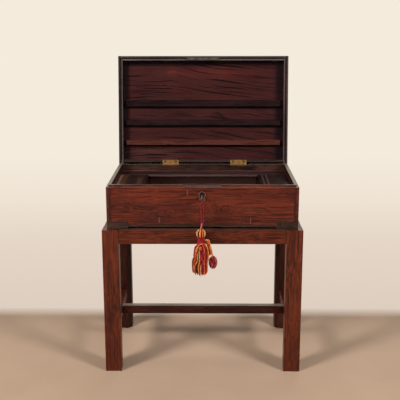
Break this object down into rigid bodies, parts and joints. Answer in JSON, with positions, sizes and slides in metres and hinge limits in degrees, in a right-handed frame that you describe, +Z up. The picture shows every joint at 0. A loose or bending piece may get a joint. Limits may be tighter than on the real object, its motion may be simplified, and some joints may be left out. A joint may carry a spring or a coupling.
{
  "type": "campaign desk",
  "caption": "Hinged writing box with lock, key and tassel on its own low square-legged stand; the lid closes on butt hinges.",
  "frame": {"origin": "on the floor under the middle of the stand", "axes": "+X to the right of someone facing the front, +Y to the back, +Z up; the front faces -Y"},
  "size_m": [0.546, 0.4773, 0.8564],
  "materials": {
    "stand_wood": "satin polish, vertical and long grain",
    "box_wood": "satin polish, long dark streaks",
    "lid_wood": "satin polish, dark",
    "lid_panel_wood": "satin polish, figured",
    "foot_wood": "worn satin",
    "inner_wood": "satin",
    "dark_ledge_wood": "ebonised satin",
    "brown_ledge_wood": "satin",
    "hinge_brass": "worn satin",
    "screw_steel": "worn",
    "lock_steel": "dull",
    "plate_metal": "worn",
    "dark_brass": "dark patina",
    "key_steel": "worn dark",
    "crimson_cord": "twisted rayon",
    "crimson_thread": "bound thread",
    "gold_thread": "silky thread",
    "orange_thread": "silky strands",
    "gold_cord": "twisted rayon",
    "pompom_thread": "cut thread"
  },
  "bodies": {
    "stand": {"leg_front_left": "stand_wood", "leg_front_right": "stand_wood", "leg_rear_left": "stand_wood", "leg_rear_right": "stand_wood", "apron_front": "stand_wood", "apron_rear": "stand_wood", "apron_left": "stand_wood", "apron_right": "stand_wood", "side_stretcher_left": "stand_wood", "side_stretcher_right": "stand_wood", "cross_stretcher": "stand_wood", "corner_blocks": "stand_wood"},
    "box": {"box_front": "box_wood", "box_back": "box_wood", "box_left": "box_wood", "box_right": "box_wood", "box_bottom": "foot_wood", "foot_front_left": "foot_wood", "foot_front_right": "foot_wood", "foot_rear_left": "foot_wood", "foot_rear_right": "foot_wood", "bottom_battens": "foot_wood", "rear_shelf": "inner_wood", "partition_left": "inner_wood", "partition_right": "inner_wood", "cover_cleats": "inner_wood", "lock_case": "lock_steel", "lock_cover": "lock_steel", "selvage_plate": "plate_metal", "escutcheon": "dark_brass", "hinge_box_leaf_left": "hinge_brass", "hinge_box_leaf_right": "hinge_brass", "hinge_pin_left": "hinge_brass", "hinge_pin_right": "hinge_brass", "box_screws": "screw_steel"},
    "lid": {"lid_panel": "lid_panel_wood", "lid_front": "lid_wood", "lid_back": "lid_wood", "lid_left": "lid_wood", "lid_right": "lid_wood", "ledge_high": "dark_ledge_wood", "ledge_middle": "dark_ledge_wood", "ledge_low": "brown_ledge_wood", "hinge_lid_leaf_left": "hinge_brass", "hinge_lid_leaf_right": "hinge_brass", "link_plate": "plate_metal", "lid_screws": "screw_steel"},
    "lock_bolt": {"bolt": "lock_steel"},
    "lock_key": {"key": "key_steel"},
    "tassel": {"key_cord": "crimson_cord", "tassel_head": "gold_thread", "tassel_neck": "crimson_thread", "tassel_skirt": "orange_thread", "pendant_cord": "gold_cord", "pendant_pompom": "pompom_thread"},
    "left_cover": {"cover_left": "inner_wood"},
    "right_cover": {"cover_right": "inner_wood"}
  },
  "joints": [
    {"name": "box_lift", "type": "slide", "parent": "stand", "child": "box", "axis": [0, 0, 1], "range_m": [0, 0.12]},
    {"name": "lid_hinge", "type": "hinge", "parent": "box", "child": "lid", "pos_m": [0, 0.165, 0.52965], "axis": [1, 0, 0], "range_deg": [0, 98]},
    {"name": "key_turn", "type": "hinge", "parent": "box", "child": "lock_key", "pos_m": [-0.001, -0.165, 0.5085], "axis": [0, 1, 0], "range_deg": [0, 360]},
    {"name": "bolt_slide", "type": "slide", "parent": "box", "child": "lock_bolt", "axis": [1, 0, 0], "range_m": [0, 0.008]},
    {"name": "tassel_swing", "type": "hinge", "parent": "lock_key", "child": "tassel", "pos_m": [-0.001, -0.206, 0.5015], "axis": [0, 1, 0], "range_deg": [-60, 60]},
    {"name": "left_cover_lift", "type": "slide", "parent": "box", "child": "left_cover", "axis": [0, 0, 1], "range_m": [0, 0.028]},
    {"name": "right_cover_lift", "type": "slide", "parent": "box", "child": "right_cover", "axis": [0, 0, 1], "range_m": [0, 0.028]}
  ],
  "couplings": [
    {"joint": "bolt_slide", "follows": "key_turn", "m_per_rad": 0.0012732}
  ]
}
